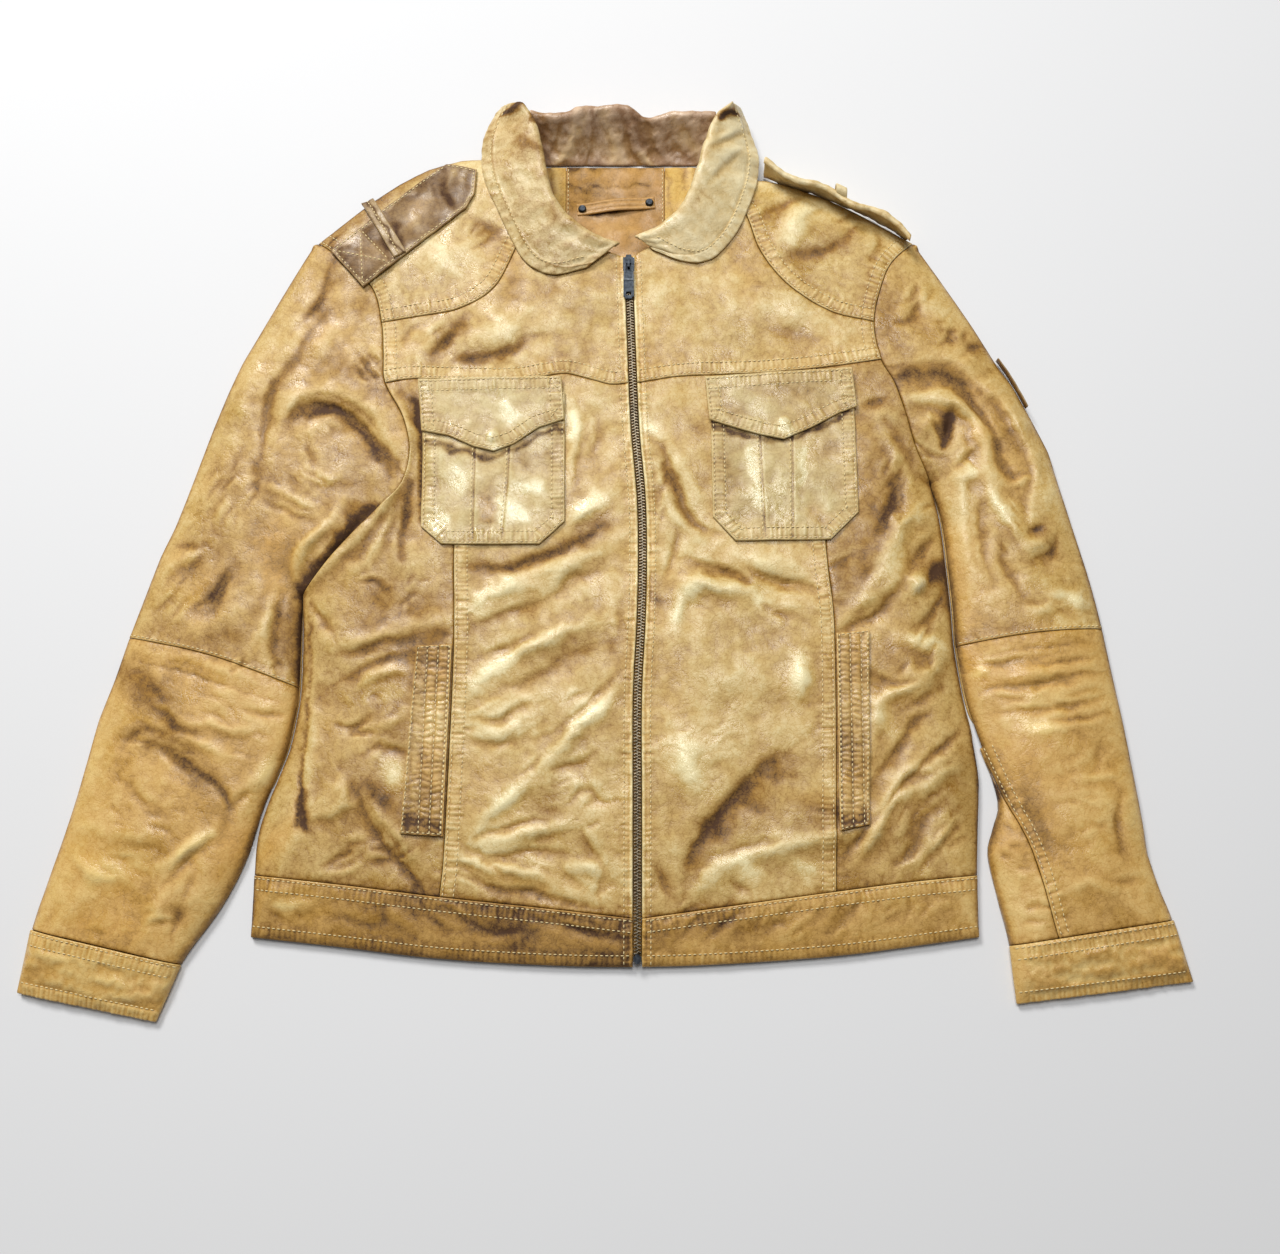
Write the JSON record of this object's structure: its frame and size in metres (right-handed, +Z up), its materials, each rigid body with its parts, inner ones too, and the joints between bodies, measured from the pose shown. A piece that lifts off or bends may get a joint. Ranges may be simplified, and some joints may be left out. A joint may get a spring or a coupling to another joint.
{
  "type": "worn leather jacket",
  "caption": "Zipped leather jacket laid flat, with shirt collar, chest pockets with pointed flaps, quilted welts, epaulettes, hem band and a hinged zip pull tab.",
  "frame": {"origin": "on the floor, in the middle of the laid-out jacket", "axes": "+X to the right as seen from above with the collar at the top, from cuff to cuff; +Y towards the collar; +Z up from the floor"},
  "size_m": [0.8892, 0.7601, 0.0358],
  "materials": {
    "tan_leather": "worn semi-gloss, creased",
    "amber_leather": "worn semi-gloss, darkened in the creases",
    "pale_leather": "rubbed pale, satin",
    "dark_leather": "dark and wrinkled, satin",
    "lining_fabric": "plain weave, matt",
    "gunmetal": "dark plated, worn"
  },
  "bodies": {
    "jacket": {"back": "tan_leather", "front_centre_L": "tan_leather", "front_centre_R": "tan_leather", "front_side_L": "tan_leather", "front_side_R": "tan_leather", "chest_L": "tan_leather", "chest_R": "tan_leather", "sleeve_upper_L": "tan_leather", "sleeve_upper_R": "tan_leather", "sleeve_lower_L": "amber_leather", "sleeve_lower_R": "amber_leather", "sleeve_lower_inner_R": "amber_leather", "sleeve_under_L": "amber_leather", "sleeve_under_R": "amber_leather", "cuff_L": "amber_leather", "cuff_R": "amber_leather", "hem_band_back": "amber_leather", "hem_band_front_L": "amber_leather", "hem_band_front_R": "amber_leather", "neck_facing": "amber_leather", "hanger_loop": "amber_leather", "shoulder_L": "pale_leather", "shoulder_R": "pale_leather", "collar_L": "pale_leather", "collar_R": "pale_leather", "pocket_L": "pale_leather", "pocket_R": "pale_leather", "flap_L": "pale_leather", "flap_R": "pale_leather", "welt_L": "pale_leather", "welt_R": "pale_leather", "epaulette_R": "pale_leather", "carrier_R": "pale_leather", "collar_back": "dark_leather", "epaulette_L": "dark_leather", "carrier_L": "dark_leather", "sleeve_patch_R": "dark_leather", "lining_L": "lining_fabric", "lining_R": "lining_fabric", "zip_chain": "gunmetal", "zip_box": "gunmetal", "zip_slider": "gunmetal", "rivet_L": "gunmetal", "rivet_R": "gunmetal"},
    "pull_tab": {"pull_tab": "gunmetal"}
  },
  "joints": [
    {"name": "pull_tab_hinge", "type": "hinge", "parent": "jacket", "child": "pull_tab", "pos_m": [0.0166, 0.2265, 0.0216], "axis": [-1, 0, 0], "range_deg": [0, 160]}
  ]
}
